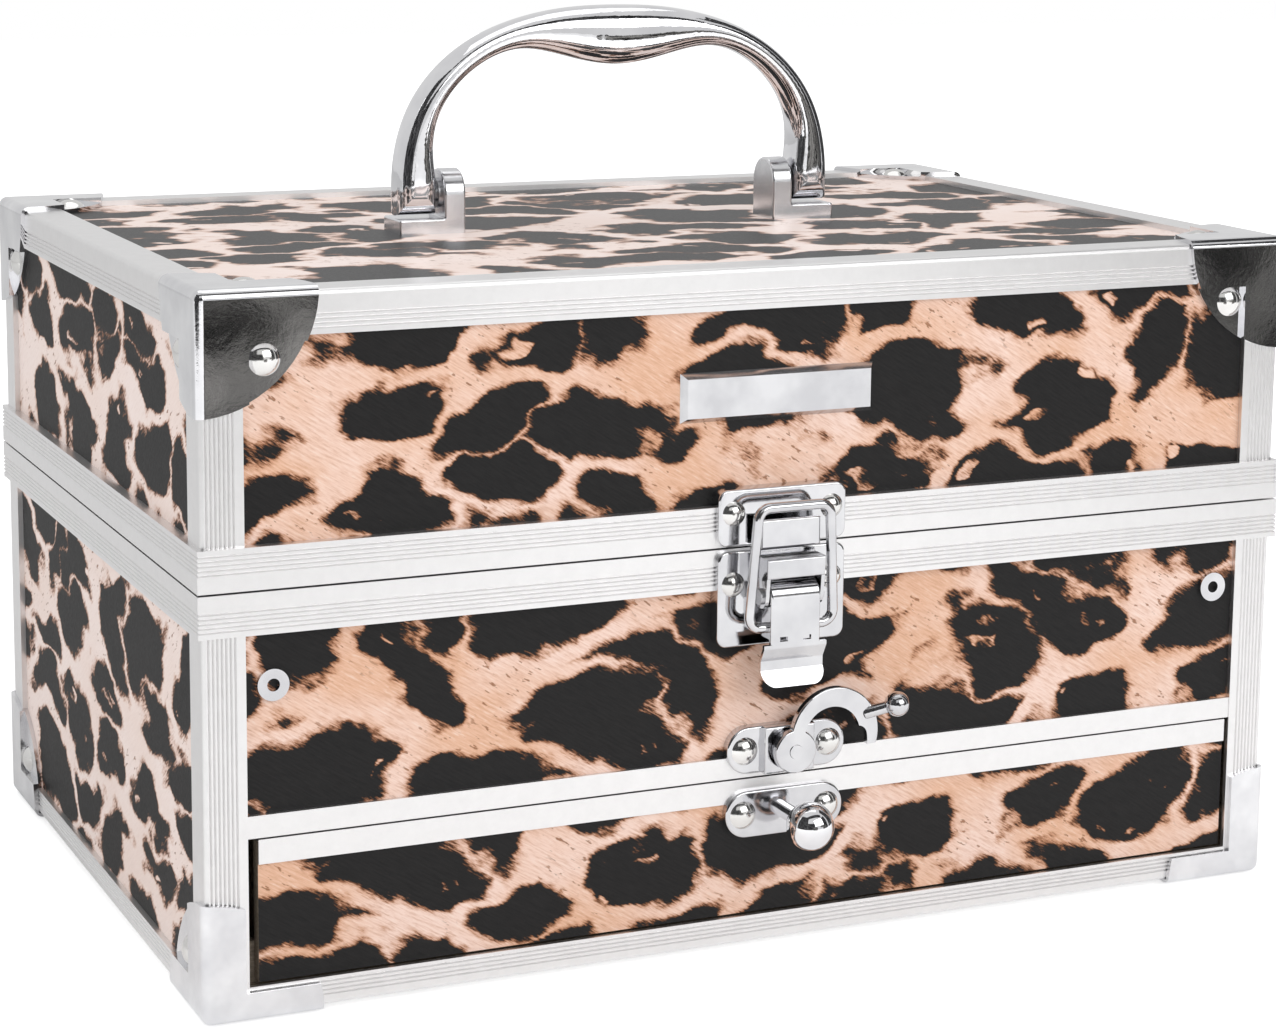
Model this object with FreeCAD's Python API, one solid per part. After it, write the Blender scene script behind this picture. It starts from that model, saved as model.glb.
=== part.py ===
import FreeCAD
import Part
import math
import os

from FreeCAD import Vector

# Makeup train case with a lift-up lid and a front drawer, in millimetres.
# +X is the right-hand side seen from the front, -Y is the front, +Z is up.
# The origin is the centre of the underside.

# Whole case
CASE_WIDTH = 250.0
CASE_DEPTH = 170.0
CASE_HEIGHT = 146.0
SEAM_HEIGHT = 87.6
SEAM_GAP = 0.4

# Boards and linings
PANEL_THICKNESS = 4.0
BASE_THICKNESS = 6.0
SHELF_THICKNESS = 3.0
LINING_THICKNESS = 0.8
LINING_TO_RIM = 1.0

# Aluminium edging
TRIM_THICKNESS = 1.2
TRIM_LEG = 8.8
TRIM_ROUND = 1.0
BOTTOM_TRIM_HEIGHT = 5.9
RIM_PROUD = 1.0
RIM_HEIGHT = 8.6
RIM_INNER_LEG = 5.0
RIM_INNER_THICKNESS = 1.0
GROOVE_WIDTH = 0.5
GROOVE_DEPTH = 0.35
GROOVE_PITCH = 0.9
EDGE_TO_GROOVE = 1.3
POST_GROOVE_COUNT = 7
RIM_GROOVE_COUNT = 5
TOP_TRIM_GROOVE_COUNT = 4
BOTTOM_TRIM_GROOVE_COUNT = 4
ROUND_STEP_COUNT = 5

# Pressed corner caps and their rivets
CAP_THICKNESS = 1.0
CAP_REACH = 24.0
CAP_ROUND = 2.0
CAP_OPEN_INSET = 0.9
RIVET_RADIUS = 3.2
RIVET_HEIGHT = 1.4
RIVET_TO_STEP = 0.2

# Hollow rivets on the lower front board
EYELET_RADIUS = 3.25
EYELET_BORE = 1.3
EYELET_HEIGHT = 1.0
EYELET_TO_POST = 5.6
EYELET_BELOW_RIM = 10.6

# Drawer bay and drawer
RAIL_BOTTOM = 37.4
RAIL_HEIGHT = 4.6
RAIL_THICKNESS = 1.0
RAIL_FLANGE = 0.8
DRAWER_GAP_TOP = 0.5
DRAWER_GAP_SIDE = 1.5
DRAWER_GAP_SILL = 0.4
DRAWER_GAP_FLOOR = 0.3
DRAWER_OFFSET = 0.8
DRAWER_FRONT_THICKNESS = 3.0
DRAWER_WALL = 3.0
DRAWER_BOTTOM_THICKNESS = 2.5
DRAWER_BACK_GAP = 8.6
DRAWER_SIDE_HEIGHT = 24.0
DRAWER_BOX_INSET = 3.2
STRIP_HEIGHT = 5.1
STRIP_THICKNESS = 0.6
RUNNER_HEIGHT = 2.8
RUNNER_TREAD = 8.0
RUNNER_GUIDE_HEIGHT = 6.0
RUNNER_GUIDE_GAP = 1.5

# Hinges at the back of the seam
HINGE_X = 70.0
HINGE_LENGTH = 30.0
HINGE_LEAF = 7.6
HINGE_LEAF_THICKNESS = 1.0
HINGE_RADIUS = 2.6
HINGE_SEAT = 0.1
HINGE_PIN_RADIUS = 1.2
HINGE_KNUCKLE_GAP = 0.2
HINGE_STOP_REACH = 5.2
HINGE_STOP_THICKNESS = 1.2
RUNNING_CLEARANCE = 0.05

# Carrying handle
HANDLE_SET_BACK = 3.2
HANDLE_OUTER_WIDTH = 107.2
HANDLE_RISE = 41.6
HANDLE_BOW_POWER = 2.35
HANDLE_WAIST = 5.3
HANDLE_GRIP_SWELL = 8.2
HANDLE_GRIP_SPREAD = 20.0
HANDLE_GRIP_POWER = 2.4
HANDLE_LEG_SWELL = 3.7
HANDLE_LEG_SPREAD = 17.0
HANDLE_DEPTH = 9.6
HANDLE_GRIP_DEPTH = 11.0
HANDLE_SECTION_COUNT = 13
HANDLE_SECTION_CROWDING = 0.4
HANDLE_SECTION_POWER = 2.5
HANDLE_LEG_SECTION_POWER = 3.4
HANDLE_PIN_RADIUS = 2.0
HANDLE_PIN_DEPTH = 7.0
HANDLE_COLLAR_RADIUS = 3.4
HANDLE_COLLAR_LENGTH = 0.6
HANDLE_SIDE_GAP = 1.1
HANDLE_HEEL_GAP = 0.5
BRACKET_DEPTH = 11.0
BRACKET_BASE = 3.4
BRACKET_POST = 5.0
BRACKET_OVERHANG = 0.6
BRACKET_PIN_COVER = 1.5
BRACKET_EDGE_ROUND = 0.5

# Bare plate on the lid front
NAMEPLATE_LENGTH = 44.5
NAMEPLATE_HEIGHT = 10.4
NAMEPLATE_THICKNESS = 1.5
NAMEPLATE_BEVEL = 1.1
NAMEPLATE_RISE_SHARE = 0.561

# Draw latch of the lid
LATCH_PLATE_WIDTH = 29.5
LATCH_PLATE_THICKNESS = 1.4
LATCH_PLATE_ROUND = 2.2
PLATE_EDGE_ROUND = 0.5
LATCH_EDGE_ROUND = 0.45
KEEPER_HEIGHT = 12.0
LATCH_BASE_HEIGHT = 20.4
LATCH_SEAM_MARGIN = 0.3
LATCH_RIVET_X = 11.3
LATCH_RIVET_TO_SEAM = 7.3
LATCH_RIVET_RADIUS = 2.6
CATCH_WIDTH = 13.6
CATCH_HEIGHT = 6.0
CATCH_REACH = 4.1
CATCH_THICKNESS = 1.0
LEVER_PIVOT_BELOW_SEAM = 9.6
LEVER_PIVOT_OUT = 3.6
LEVER_PIN_RADIUS = 1.0
LEVER_PIN_HEAD = 1.7
LEVER_PIN_HEAD_HEIGHT = 0.6
LEVER_WIDTH = 11.4
LEVER_THICKNESS = 0.8
LEVER_ROLL = 3.2
LEVER_LENGTH = 10.6
LEVER_FLANGE = 1.2
LEVER_SLOT_X = 2.7
LEVER_SLOT_WIDTH = 1.8
LEVER_SLOT_HEIGHT = 1.0
LEVER_SLOT_RISE = 1.4
TAB_WIDTH = 14.4
TAB_LENGTH = 8.2
TAB_ROUND = 3.0
TAB_SET_BACK = 1.6
TAB_FLARE = 2.0
EAR_THICKNESS = 0.8
EAR_GAP = 0.2
EAR_RADIUS = 2.5
BRIDGE_RISE = 4.2
BAIL_WIDTH = 21.8
BAIL_TOP_WIDTH = 18.6
BAIL_WIRE = 2.2
BAIL_PIVOT_DROP = 6.5
BAIL_PIVOT_OUT = 0.8
BAIL_RISE = 25.5
BAIL_BEND = 2.6
BAIL_TO_CATCH = 0.3

# Swing hook of the drawer
CLASP_X = 2.5
CLASP_LENGTH = 27.6
CLASP_HEIGHT = 10.2
CLASP_THICKNESS = 1.2
CLASP_RIVET_X = 9.8
CLASP_RIVET_RADIUS = 3.0
HOOK_PLATE_RISE = 1.0
HOOK_BOX_LENGTH = 11.6
HOOK_BOX_HEIGHT = 1.8
HOOK_PIVOT_X = 2.6
HOOK_SPOOL_RADIUS = 4.0
HOOK_SPOOL_LENGTH = 1.0
HOOK_PIN_RADIUS = 1.5
HOOK_HEAD_RADIUS = 2.6
HOOK_HEAD_HEIGHT = 1.6
HOOK_THICKNESS = 1.5
HOOK_EDGE_ROUND = 0.35
HOOK_SIDE_GAP = 0.2
HOOK_EYE_RADIUS = 4.7
HOOK_OUTER_RADIUS = 10.2
HOOK_INNER_RADIUS = 6.6
HOOK_HOLLOW_X = 1.6
HOOK_BOW_X = 2.0
HOOK_BOW_DROP = 9.4
HOOK_HOLLOW_DROP = 8.6
HOOK_TIP_X = -1.6
HOOK_SWING = 95.0
HOOK_KNOB_RADIUS = 2.7
HOOK_STEM_RADIUS = 1.3
HOOK_STEM_X = 5.0
HOOK_KNOB_X = 6.8
HOOK_KNOB_DROP = 23.0
HOOK_KNOB_OUT = 3.4
STUD_X = 0.7
STUD_DROP = 14.6
STUD_NECK_RADIUS = 1.8
STUD_NECK_CLEARANCE = 0.4
STUD_BALL_RADIUS = 5.1
STUD_BALL_GAP = 0.4
STUD_PLATE_BELOW_TOP = 2.4

# Places worked out from the sizes above
POST_X = CASE_WIDTH / 2 - RIM_PROUD
POST_Y = CASE_DEPTH / 2 - RIM_PROUD
PANEL_X = POST_X - TRIM_THICKNESS
PANEL_Y = POST_Y - TRIM_THICKNESS
INNER_X = PANEL_X - PANEL_THICKNESS
INNER_Y = PANEL_Y - PANEL_THICKNESS
RIM_Y = CASE_DEPTH / 2
TRIM_BOTTOM = CAP_THICKNESS
BOARD_BOTTOM = TRIM_BOTTOM + TRIM_THICKNESS
SILL_TOP = TRIM_BOTTOM + BOTTOM_TRIM_HEIGHT
CASE_TOP = SEAM_HEIGHT - SEAM_GAP / 2
CASE_RIM_LOW = CASE_TOP - RIM_HEIGHT
LID_BOTTOM = SEAM_HEIGHT + SEAM_GAP / 2
LID_RIM_TOP = LID_BOTTOM + RIM_HEIGHT
LID_BOARD_TOP = CASE_HEIGHT - TRIM_THICKNESS
LID_CEILING = LID_BOARD_TOP - PANEL_THICKNESS
RAIL_TOP = RAIL_BOTTOM + RAIL_HEIGHT
RAIL_FACE = PANEL_Y + RAIL_THICKNESS
SHELF_BOTTOM = RAIL_BOTTOM + RAIL_FLANGE
SHELF_TOP = SHELF_BOTTOM + SHELF_THICKNESS
HANDLE_PIVOT_Z = LID_BOARD_TOP + BRACKET_BASE + HANDLE_HEEL_GAP + HANDLE_DEPTH / 2
LATCH_FACE = -RIM_Y - LATCH_PLATE_THICKNESS
LEVER_Y = LATCH_FACE - LEVER_PIVOT_OUT
LEVER_Z = SEAM_HEIGHT - LEVER_PIVOT_BELOW_SEAM
LEVER_HALF = LEVER_WIDTH / 2
BAIL_Y = LEVER_Y - BAIL_PIVOT_OUT
BAIL_Z = LEVER_Z - BAIL_PIVOT_DROP
EAR_INNER = LEVER_HALF + EAR_GAP
EAR_OUTER = EAR_INNER + EAR_THICKNESS
CLASP_LEFT = CLASP_X - CLASP_LENGTH / 2
CLASP_RIGHT = CLASP_X + CLASP_LENGTH / 2
CLASP_ROUND = 0.49 * CLASP_HEIGHT
HOOK_PLATE_LOW = RAIL_BOTTOM + HOOK_PLATE_RISE
HOOK_PIVOT_Z = HOOK_PLATE_LOW + CLASP_HEIGHT / 2
HOOK_PLATE_FACE = -RAIL_FACE - CLASP_THICKNESS
HOOK_BOX_FACE = HOOK_PLATE_FACE - HOOK_BOX_HEIGHT
HOOK_BACK = HOOK_BOX_FACE - HOOK_SPOOL_LENGTH - HOOK_SIDE_GAP
HOOK_FACE = HOOK_BACK - HOOK_THICKNESS
STRIP_FACE = -PANEL_Y - STRIP_THICKNESS
STUD_PLATE_FACE = STRIP_FACE - CLASP_THICKNESS
STUD_PLATE_TOP = RAIL_BOTTOM - DRAWER_GAP_TOP - STUD_PLATE_BELOW_TOP
STUD_PLATE_LOW = STUD_PLATE_TOP - CLASP_HEIGHT
FAR = 2 * (CASE_WIDTH + CASE_DEPTH + CASE_HEIGHT)

FRONT = Vector(0, -1, 0)
BACK = Vector(0, 1, 0)
UP = Vector(0, 0, 1)
NODES = {}


def box(x0, x1, y0, y1, z0, z1):
    return Part.makeBox(x1 - x0, y1 - y0, z1 - z0, Vector(x0, y0, z0))


def rod_x(x0, x1, y, z, radius):
    return Part.makeCylinder(radius, x1 - x0, Vector(x0, y, z), Vector(1, 0, 0))


def rod_y(x, y0, y1, z, radius):
    return Part.makeCylinder(radius, y1 - y0, Vector(x, y0, z), Vector(0, 1, 0))


def mirror_x(shape):
    return shape.mirror(Vector(0, 0, 0), Vector(1, 0, 0))


def mirror_y(shape):
    return shape.mirror(Vector(0, 0, 0), Vector(0, 1, 0))


def both_sides(shape):
    return [shape, mirror_x(shape)]


def four_corners(shape):
    return both_sides(shape) + both_sides(mirror_y(shape))


def flat_face(points):
    return Part.Face(Part.makePolygon(points + points[:1]))


def solid_between(start, end):
    """Straight bar between two flat outlines with the same number of points."""
    faces = [flat_face(start), flat_face(end)]
    for i in range(len(start)):
        j = (i + 1) % len(start)
        faces.append(flat_face([start[i], start[j], end[j], end[i]]))
    solid = Part.makeSolid(Part.makeShell(faces))
    if solid.Volume < 0:
        solid.reverse()
    return solid


def side_profile(points, x0, x1):
    """Outline given as (y, z) points, made solid from x0 to x1."""
    start = [Vector(x0, y, z) for y, z in points]
    return flat_face(start).extrude(Vector(x1 - x0, 0, 0))


def rounded_plate(x0, x1, z0, z1, y_back, y_front, radius):
    """Flat plate facing the front, with its four corners rounded."""
    plate = box(x0, x1, y_front, y_back, z0, z1)
    corners = [e for e in plate.Edges if abs(e.tangentAt(e.FirstParameter).y) > 0.5]
    return plate.makeFillet(radius, corners)


def soft_front(shape, radius):
    """The same shape with the edges of its front face rounded."""
    front = shape.BoundBox.YMin
    rim = [e for e in shape.Edges if e.BoundBox.YMax < front + radius]
    return shape.makeFillet(radius, rim)


def soft_plate(x0, x1, z0, z1, y_front, radius):
    """Pressed plate on the front boards, with rounded corners and a rounded front edge."""
    return soft_front(rounded_plate(x0, x1, z0, z1, -PANEL_Y, y_front, radius), PLATE_EDGE_ROUND)


def dome(x, y, z, radius, height, direction):
    """Low domed head of a rivet, standing on a face in the given direction."""
    ball_radius = (radius * radius + height * height) / (2 * height)
    seat = Vector(x, y, z)
    centre = seat - direction * (ball_radius - height)
    ball = Part.makeSphere(ball_radius, centre)
    return ball.common(Part.makeCylinder(radius, height, seat, direction))


def grooves(low, high, count):
    """Outline of a grooved face from low to high, as (depth, height) points."""
    outline = [(0, low)]
    for i in range(count):
        middle = low + EDGE_TO_GROOVE + i * GROOVE_PITCH
        outline.append((0, middle - GROOVE_WIDTH / 2))
        outline.append((GROOVE_DEPTH, middle))
        outline.append((0, middle + GROOVE_WIDTH / 2))
    outline.append((0, high))
    return outline


def rounded_corner(radius):
    """Quarter round from (0, radius) to (radius, 0), seen from an outside corner at (0, 0)."""
    turns = [i * math.pi / 2 / ROUND_STEP_COUNT for i in range(ROUND_STEP_COUNT + 1)]
    return [(radius * (1 - math.cos(t)), radius * (1 - math.sin(t))) for t in turns]


def frame_bar(profile, half_x, half_y, side, setback=None):
    """One side of a rectangular frame from (depth behind the outer face, height) points.

    The ends are mitred, or square at the given setback from the corner.
    """
    start = []
    end = []
    for depth, height in profile:
        x = half_x - depth
        y = half_y - depth
        x_end = x if setback is None else half_x - setback
        y_end = y if setback is None else half_y - setback
        first, last = {
            "front": ((-x_end, -y), (x_end, -y)),
            "back": ((x_end, y), (-x_end, y)),
            "left": ((-x, y_end), (-x, -y_end)),
            "right": ((x, -y_end), (x, y_end)),
        }[side]
        start.append(Vector(first[0], first[1], height))
        end.append(Vector(last[0], last[1], height))
    return solid_between(start, end)


def frame(name, profile, half_x, half_y, setback=None):
    """Four bars round the case: front and back nodes, and one node with the two sides."""
    sides = ("front", "back", "left", "right")
    bars = {side: frame_bar(profile, half_x, half_y, side, setback) for side in sides}
    NODES[name + "_front"] = [bars["front"]]
    NODES[name + "_back"] = [bars["back"]]
    NODES[name + "_sides"] = [bars["left"], bars["right"]]


def rim_profile():
    """Channel of the case rim, whose mouth takes the top edges of the boards."""
    outer = RIM_PROUD + TRIM_THICKNESS
    inner = outer + PANEL_THICKNESS
    bridge = CASE_TOP - TRIM_THICKNESS
    tail = CASE_TOP - RIM_INNER_LEG
    channel = [
        (inner + RIM_INNER_THICKNESS, CASE_TOP),
        (inner + RIM_INNER_THICKNESS, tail),
        (inner, tail),
        (inner, bridge),
        (outer, bridge),
        (outer, CASE_RIM_LOW),
    ]
    return grooves(CASE_RIM_LOW, CASE_TOP, RIM_GROOVE_COUNT) + channel


def make_rims():
    """Ribbed bands on both sides of the seam."""
    profile = rim_profile()
    mirrored = [(depth, 2 * SEAM_HEIGHT - height) for depth, height in profile]
    frame("case_rim", profile, CASE_WIDTH / 2, CASE_DEPTH / 2)
    frame("lid_rim", mirrored, CASE_WIDTH / 2, CASE_DEPTH / 2)


def make_trims():
    """Angle edging round the lid top and round the underside."""
    low = CASE_HEIGHT - TRIM_LEG
    corner = [(u, CASE_HEIGHT - v) for u, v in rounded_corner(TRIM_ROUND)]
    top = grooves(low, corner[0][1], TOP_TRIM_GROOVE_COUNT)[:-1] + corner
    top += [
        (TRIM_LEG, CASE_HEIGHT),
        (TRIM_LEG, LID_BOARD_TOP),
        (TRIM_THICKNESS, LID_BOARD_TOP),
        (TRIM_THICKNESS, low),
    ]
    frame("lid_trim", top, POST_X, POST_Y)

    corner = [(u, TRIM_BOTTOM + v) for u, v in rounded_corner(TRIM_ROUND)]
    bottom = list(reversed(corner))[:-1]
    bottom += grooves(corner[0][1], SILL_TOP, BOTTOM_TRIM_GROOVE_COUNT)
    bottom += [
        (TRIM_THICKNESS, SILL_TOP),
        (TRIM_THICKNESS, BOARD_BOTTOM),
        (TRIM_LEG, BOARD_BOTTOM),
        (TRIM_LEG, TRIM_BOTTOM),
    ]
    frame("bottom_trim", bottom, POST_X, POST_Y, setback=TRIM_LEG)


def corner_post(low, high):
    """Front left post: an angle with a fluted front leg."""
    corner = [(-POST_X + u, -POST_Y + v) for u, v in rounded_corner(TRIM_ROUND)]
    flutes = grooves(0, TRIM_LEG, POST_GROOVE_COUNT)[1:]
    outline = corner + [(-POST_X + along, -POST_Y + depth) for depth, along in flutes]
    outline += [
        (-POST_X + TRIM_LEG, -PANEL_Y),
        (-PANEL_X, -PANEL_Y),
        (-PANEL_X, -POST_Y + TRIM_LEG),
        (-POST_X, -POST_Y + TRIM_LEG),
    ]
    face = flat_face([Vector(x, y, low) for x, y in outline])
    return face.extrude(UP * (high - low))


def make_posts():
    NODES["case_posts"] = four_corners(corner_post(TRIM_BOTTOM, CASE_RIM_LOW))
    NODES["lid_posts"] = four_corners(corner_post(LID_RIM_TOP, CASE_HEIGHT - TRIM_LEG))


def make_boards():
    """Printed boards of the case and of the lid, the shelf over the drawer and the front rail."""
    wall_top = CASE_TOP - TRIM_THICKNESS
    wall_low = LID_BOTTOM + TRIM_THICKNESS
    field_x = POST_X - TRIM_LEG
    field_y = POST_Y - TRIM_LEG
    base = box(-INNER_X, INNER_X, -PANEL_Y, INNER_Y, BOARD_BOTTOM, BASE_THICKNESS)
    field = box(-field_x, field_x, -field_y, field_y, 0, BOARD_BOTTOM)
    NODES["case_bottom_board"] = [base.fuse(field).removeSplitter()]
    NODES["case_front_board"] = [box(-INNER_X, INNER_X, -PANEL_Y, -INNER_Y, SHELF_BOTTOM, wall_top)]
    NODES["case_back_board"] = [box(-INNER_X, INNER_X, INNER_Y, PANEL_Y, BOARD_BOTTOM, wall_top)]
    side = box(-PANEL_X, -INNER_X, -PANEL_Y, PANEL_Y, BOARD_BOTTOM, wall_top)
    NODES["case_left_board"] = [side]
    NODES["case_right_board"] = [mirror_x(side)]
    NODES["case_shelf"] = [box(-INNER_X, INNER_X, -INNER_Y, INNER_Y, SHELF_BOTTOM, SHELF_TOP)]

    half = POST_X - TRIM_LEG
    face = box(-half, half, -RAIL_FACE, -PANEL_Y, RAIL_BOTTOM, RAIL_TOP)
    flange = box(-half, half, -PANEL_Y, -INNER_Y, RAIL_BOTTOM, SHELF_BOTTOM)
    NODES["drawer_rail"] = [face.fuse(flange).removeSplitter()]

    NODES["lid_top_board"] = [box(-PANEL_X, PANEL_X, -PANEL_Y, PANEL_Y, LID_CEILING, LID_BOARD_TOP)]
    NODES["lid_front_board"] = [box(-INNER_X, INNER_X, -PANEL_Y, -INNER_Y, wall_low, LID_CEILING)]
    NODES["lid_back_board"] = [box(-INNER_X, INNER_X, INNER_Y, PANEL_Y, wall_low, LID_CEILING)]
    side = box(-PANEL_X, -INNER_X, -PANEL_Y, PANEL_Y, wall_low, LID_CEILING)
    NODES["lid_left_board"] = [side]
    NODES["lid_right_board"] = [mirror_x(side)]


def make_linings():
    """Thin felt linings, each a tray glued to the inside faces."""
    x = INNER_X - LINING_THICKNESS
    y = INNER_Y - LINING_THICKNESS
    top = CASE_TOP - RIM_INNER_LEG - LINING_TO_RIM
    tray = box(-INNER_X, INNER_X, -INNER_Y, INNER_Y, SHELF_TOP, top)
    NODES["case_lining"] = [tray.cut(box(-x, x, -y, y, SHELF_TOP + LINING_THICKNESS, top))]
    low = LID_BOTTOM + RIM_INNER_LEG + LINING_TO_RIM
    tray = box(-INNER_X, INNER_X, -INNER_Y, INNER_Y, low, LID_CEILING)
    NODES["lid_lining"] = [tray.cut(box(-x, x, -y, y, low, LID_CEILING - LINING_THICKNESS))]


def corner_cap(leg_height, open_front, open_bottom):
    """Pressed cap on an outside corner at the origin, with the case towards +X, +Y and +Z.

    Past the edging each face steps down onto the board.
    An open face keeps only the strips over the edging.
    """
    t = CAP_THICKNESS
    size = CAP_REACH + t
    block = Part.makeBox(size, size, size, Vector(-t, -t, -t))
    near = [e for e in block.Edges if (e.CenterOfMass + Vector(t, t, t)).Length < 0.6 * size]
    cap = block.makeFillet(CAP_ROUND, near)
    cap = cap.common(Part.makeSphere(size, Vector(-t, -t, -t)))
    core = box(0, FAR, 0, FAR, 0, FAR)
    deep = TRIM_THICKNESS
    step = deep - t
    leg = TRIM_LEG
    core = core.cut(box(0, deep, leg, FAR, leg_height, FAR))
    cap_cuts = [box(-FAR, step, leg + t, FAR, leg_height + t, FAR)]
    if open_front:
        cap_cuts.append(box(leg - CAP_OPEN_INSET, FAR, -FAR, deep, leg_height - CAP_OPEN_INSET, FAR))
    else:
        core = core.cut(box(leg, FAR, 0, deep, leg_height, FAR))
        cap_cuts.append(box(leg + t, FAR, -FAR, step, leg_height + t, FAR))
    if open_bottom:
        cap_cuts.append(box(leg, FAR, leg, FAR, -FAR, deep))
    else:
        core = core.cut(box(leg, FAR, leg, FAR, 0, deep))
        cap_cuts.append(box(leg + t, FAR, leg + t, FAR, -FAR, step))
    cap = cap.cut(core)
    for cutter in cap_cuts:
        cap = cap.cut(cutter)
    return cap.Solids[0]


def place_cap(shape, over):
    """Move a cap, or a rivet on it, to the front left corner of the base or, turned over, of the lid."""
    if over:
        shape = shape.mirror(Vector(0, 0, 0), UP)
        return shape.translated(Vector(-POST_X, -POST_Y, CASE_HEIGHT))
    return shape.translated(Vector(-POST_X, -POST_Y, TRIM_BOTTOM))


def make_caps():
    """Corner caps of the lid and of the base, and the rivets that hold them."""
    seat = TRIM_THICKNESS - CAP_THICKNESS
    inset = CAP_THICKNESS + RIVET_RADIUS + RIVET_TO_STEP
    across = TRIM_LEG + inset
    rise = BOTTOM_TRIM_HEIGHT + inset
    left = Vector(-1, 0, 0)
    lid_cap = place_cap(corner_cap(TRIM_LEG, False, False), True)
    NODES["lid_corners"] = four_corners(lid_cap)
    heads = [
        dome(seat, across, across, RIVET_RADIUS, RIVET_HEIGHT, left),
        dome(across, seat, across, RIVET_RADIUS, RIVET_HEIGHT, FRONT),
        dome(across, across, seat, RIVET_RADIUS, RIVET_HEIGHT, UP * -1),
    ]
    front_heads = [place_cap(head, True) for head in heads]
    rivets = front_heads + [mirror_y(head) for head in front_heads]
    NODES["lid_corner_rivets_left"] = rivets
    NODES["lid_corner_rivets_right"] = [mirror_x(rivet) for rivet in rivets]

    front_cap = place_cap(corner_cap(BOTTOM_TRIM_HEIGHT, True, True), False)
    rear_cap = mirror_y(place_cap(corner_cap(BOTTOM_TRIM_HEIGHT, False, True), False))
    NODES["base_corners"] = both_sides(front_cap) + both_sides(rear_cap)
    side_head = place_cap(dome(seat, across, rise, RIVET_RADIUS, RIVET_HEIGHT, left), False)
    back_head = mirror_y(place_cap(dome(across, seat, rise, RIVET_RADIUS, RIVET_HEIGHT, FRONT), False))
    rivets = [side_head, mirror_y(side_head), back_head]
    NODES["base_corner_rivets_left"] = rivets
    NODES["base_corner_rivets_right"] = [mirror_x(rivet) for rivet in rivets]


def make_eyelets():
    """Hollow rivets near the ends of the lower front board."""
    x = POST_X - TRIM_LEG - EYELET_TO_POST
    z = CASE_RIM_LOW - EYELET_BELOW_RIM
    ring = rod_y(x, -PANEL_Y - EYELET_HEIGHT, -PANEL_Y, z, EYELET_RADIUS)
    ring = ring.cut(rod_y(x, -PANEL_Y - EYELET_HEIGHT, -PANEL_Y, z, EYELET_BORE))
    NODES["front_eyelets"] = both_sides(ring)


def make_drawer():
    """Drawer box with a printed front, its top strip, and the runners it slides on."""
    floor = BASE_THICKNESS + RUNNER_HEIGHT
    low = floor + DRAWER_GAP_FLOOR
    top = RAIL_BOTTOM - DRAWER_GAP_TOP
    half = POST_X - TRIM_LEG - DRAWER_GAP_SIDE
    left = DRAWER_OFFSET - half
    right = DRAWER_OFFSET + half
    back_of_front = -PANEL_Y + DRAWER_FRONT_THICKNESS
    front_top = top - STRIP_THICKNESS
    front_low = SILL_TOP + DRAWER_GAP_SILL
    NODES["drawer_front"] = [box(left, right, -PANEL_Y, back_of_front, front_low, front_top)]
    strip_face = -PANEL_Y - STRIP_THICKNESS
    leg = box(left, right, strip_face, -PANEL_Y, top - STRIP_HEIGHT, top)
    cover = box(left, right, -PANEL_Y, back_of_front, front_top, top)
    NODES["drawer_strip"] = [leg.fuse(cover).removeSplitter()]

    box_left = left + DRAWER_BOX_INSET
    box_right = right - DRAWER_BOX_INSET
    end = INNER_Y - DRAWER_BACK_GAP
    side_top = low + DRAWER_SIDE_HEIGHT
    inner_left = box_left + DRAWER_WALL
    inner_right = box_right - DRAWER_WALL
    floor_top = low + DRAWER_BOTTOM_THICKNESS
    NODES["drawer_walls"] = [
        box(box_left, inner_left, back_of_front, end, low, side_top),
        box(inner_right, box_right, back_of_front, end, low, side_top),
        box(inner_left, inner_right, end - DRAWER_WALL, end, low, side_top),
    ]
    NODES["drawer_bottom"] = [box(inner_left, inner_right, back_of_front, end - DRAWER_WALL, low, floor_top)]

    guide_x = max(-box_left, box_right) + RUNNER_GUIDE_GAP
    start = back_of_front + DRAWER_GAP_FLOOR
    tread = box(guide_x - RUNNER_TREAD, INNER_X, start, INNER_Y, BASE_THICKNESS, floor)
    guide = box(guide_x, INNER_X, start, INNER_Y, floor, floor + RUNNER_GUIDE_HEIGHT)
    NODES["drawer_runners"] = both_sides(tread.fuse(guide).removeSplitter())


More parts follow.
